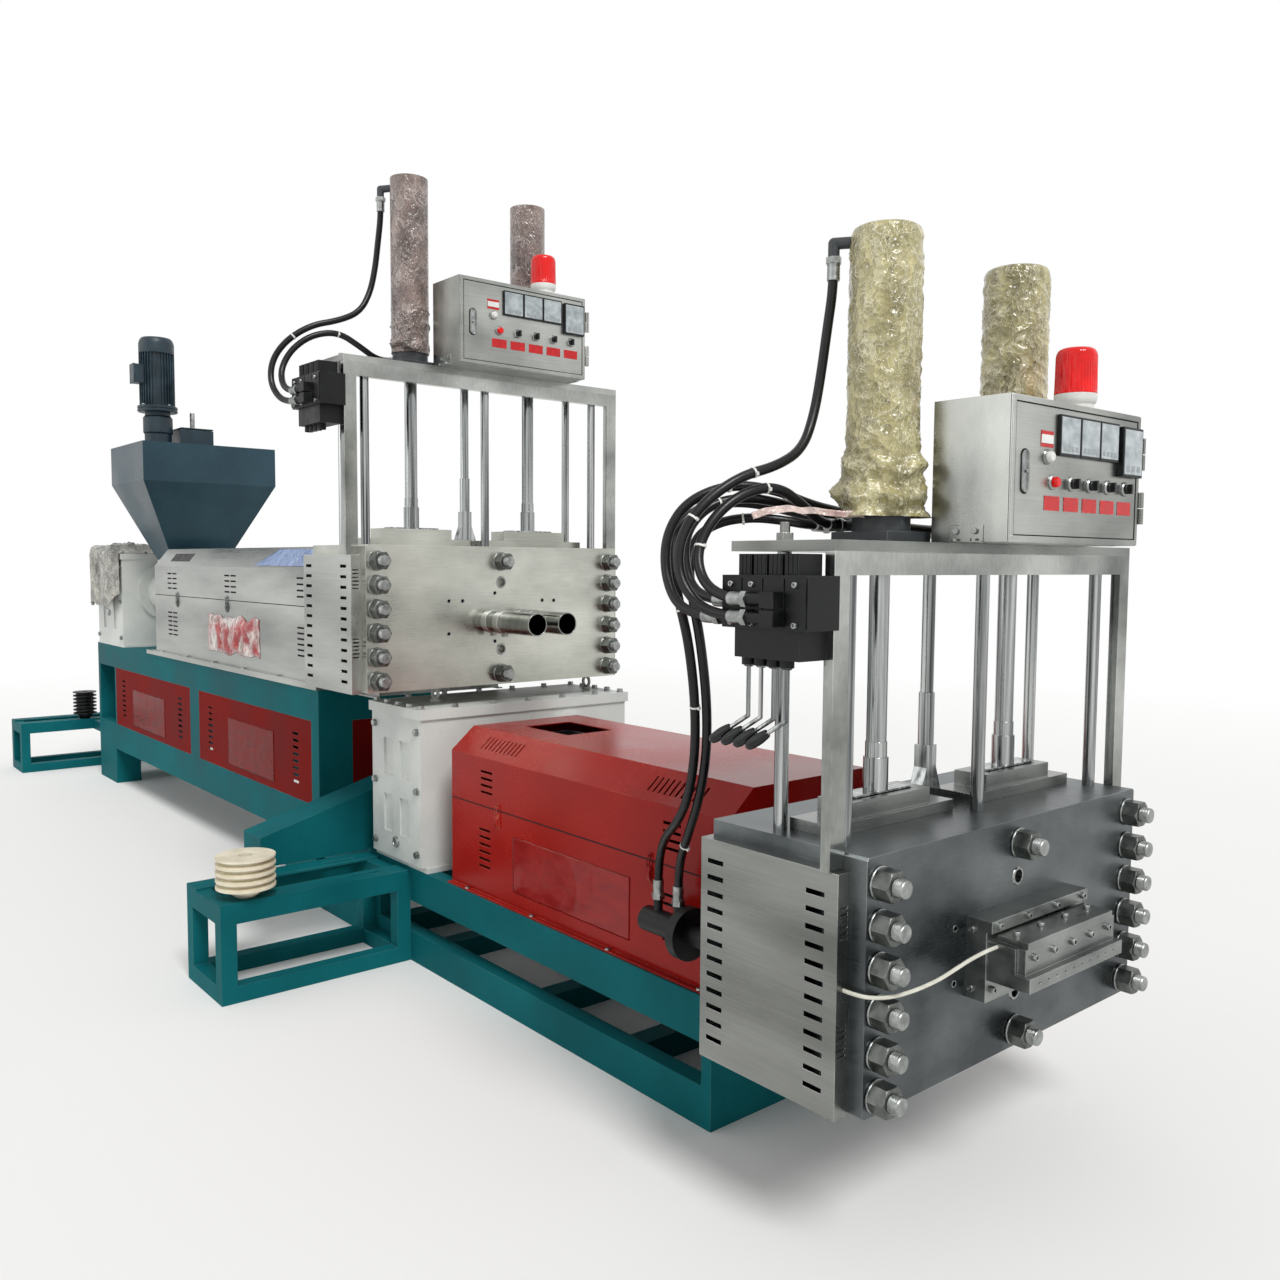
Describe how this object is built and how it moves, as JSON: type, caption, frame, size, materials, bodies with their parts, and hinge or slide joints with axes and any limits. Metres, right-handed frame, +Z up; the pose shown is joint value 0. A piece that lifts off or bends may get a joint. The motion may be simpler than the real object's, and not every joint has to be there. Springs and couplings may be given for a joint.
{
  "type": "plastic extruder",
  "caption": "Two-stage plastic recycling extruder: a hopper-fed upper stage feeds a lower one through hydraulic screen changers, ending in a strand die.",
  "frame": {"origin": "on the floor, on the screws' centre line, at the front end of the lower stage's base frame", "axes": "+X the way the plastic flows, +Y to the side away from the motor tables, +Z up"},
  "size_m": [8.251, 1.77, 3.111],
  "materials": {
    "box_paint": "brushed",
    "cast_black": "black",
    "chrome_rod": "polished",
    "cylinder_paint": "grey",
    "die_steel": "ground",
    "film": "clear film, yellowed",
    "frame_paint": "gloss teal",
    "gearbox_paint": "off white",
    "hopper_paint": "dark blue green",
    "lamp": "red lens",
    "motor_paint": "blue",
    "panel_red": "satin red",
    "pulley_iron": "ivory primer",
    "red_paint": "gloss red",
    "rubber_black": "black",
    "stainless": "brushed"
  },
  "bodies": {
    "frame": {"beacons": "lamp", "clamp_nuts": "stainless", "control_boxes": "box_paint", "cover_latches": "chrome_rod", "cylinder_films": "film", "die_heater_cable": "rubber_black", "first_barrel": "die_steel", "first_base_frame": "frame_paint", "first_base_panels": "panel_red", "first_cover_base": "stainless", "first_cover_tray": "stainless", "first_die_block": "stainless", "first_front_plate": "stainless", "first_gearbox": "gearbox_paint", "first_hose_high": "rubber_black", "first_hose_low": "rubber_black", "first_motor_pulley": "cast_black", "first_motor_table": "frame_paint", "gland_slabs": "stainless", "hopper": "hopper_paint", "hopper_feeder": "motor_paint", "outlet_pipes": "stainless", "portal_frames": "stainless", "screen_cylinders": "cylinder_paint", "screen_hydraulic_motor": "cast_black", "second_barrel": "die_steel", "second_base_frame": "frame_paint", "second_belt_guard": "frame_paint", "second_cover_base": "red_paint", "second_die_block": "die_steel", "second_front_plate": "die_steel", "second_gearbox": "gearbox_paint", "second_hose_far_inner": "rubber_black", "second_hose_far_outer": "rubber_black", "second_hose_high": "rubber_black", "second_hose_low": "rubber_black", "second_hose_motor_left": "rubber_black", "second_hose_motor_right": "rubber_black", "second_motor_pulley": "pulley_iron", "second_motor_table": "frame_paint", "side_covers": "stainless", "strand_die_adapter": "die_steel", "strand_die_head": "die_steel", "tie_rods": "chrome_rod", "top_plates": "stainless", "valve_blocks": "cast_black"},
    "first_control_door": {"first_control_door": "box_paint"},
    "first_cover_lid": {"first_cover_lid": "stainless"},
    "first_screen_slide_far": {"first_screen_slide_far": "chrome_rod"},
    "first_screen_slide_near": {"first_screen_slide_near": "chrome_rod"},
    "second_control_door": {"second_control_door": "box_paint"},
    "second_cover_lid": {"second_cover_lid": "red_paint"},
    "second_screen_slide_far": {"second_screen_slide_far": "chrome_rod"},
    "second_screen_slide_near": {"second_screen_slide_near": "chrome_rod"},
    "valve_lever_1": {"valve_lever_1": "chrome_rod"},
    "valve_lever_2": {"valve_lever_2": "chrome_rod"},
    "valve_lever_3": {"valve_lever_3": "chrome_rod"},
    "valve_lever_4": {"valve_lever_4": "chrome_rod"}
  },
  "joints": [
    {"name": "second_lid_hinge", "type": "hinge", "parent": "frame", "child": "second_cover_lid", "pos_m": [-0.715, 0.352, 0.71], "axis": [-1, 0, 0], "range_deg": [0, 40]},
    {"name": "first_lid_hinge", "type": "hinge", "parent": "frame", "child": "first_cover_lid", "pos_m": [-3.69, 0.308, 1.379], "axis": [-1, 0, 0], "range_deg": [0, 20]},
    {"name": "first_door_hinge", "type": "hinge", "parent": "frame", "child": "first_control_door", "pos_m": [-1.573, 0.382, 2.53], "axis": [0, 0, 1], "range_deg": [0, 110]},
    {"name": "first_screen_lift_near", "type": "slide", "parent": "frame", "child": "first_screen_slide_near", "axis": [0, 0, 1], "range_m": [0, 0.38]},
    {"name": "first_screen_lift_far", "type": "slide", "parent": "frame", "child": "first_screen_slide_far", "axis": [0, 0, 1], "range_m": [0, 0.38]},
    {"name": "second_door_hinge", "type": "hinge", "parent": "frame", "child": "second_control_door", "pos_m": [0.795, 0.382, 1.815], "axis": [0, 0, 1], "range_deg": [0, 110]},
    {"name": "second_screen_lift_near", "type": "slide", "parent": "frame", "child": "second_screen_slide_near", "axis": [0, 0, 1], "range_m": [0, 0.38]},
    {"name": "second_screen_lift_far", "type": "slide", "parent": "frame", "child": "second_screen_slide_far", "axis": [0, 0, 1], "range_m": [0, 0.38]},
    {"name": "valve_lever_swing_1", "type": "hinge", "parent": "frame", "child": "valve_lever_1", "pos_m": [0.44, -0.695, 1.378], "axis": [1, 0, 0], "range_deg": [-15, 15], "stiffness_Nm_per_rad": 1},
    {"name": "valve_lever_swing_2", "type": "hinge", "parent": "frame", "child": "valve_lever_2", "pos_m": [0.478, -0.695, 1.378], "axis": [1, 0, 0], "range_deg": [-15, 15], "stiffness_Nm_per_rad": 1},
    {"name": "valve_lever_swing_3", "type": "hinge", "parent": "frame", "child": "valve_lever_3", "pos_m": [0.516, -0.695, 1.378], "axis": [1, 0, 0], "range_deg": [-15, 15], "stiffness_Nm_per_rad": 1},
    {"name": "valve_lever_swing_4", "type": "hinge", "parent": "frame", "child": "valve_lever_4", "pos_m": [0.554, -0.695, 1.378], "axis": [1, 0, 0], "range_deg": [-15, 15], "stiffness_Nm_per_rad": 1}
  ]
}
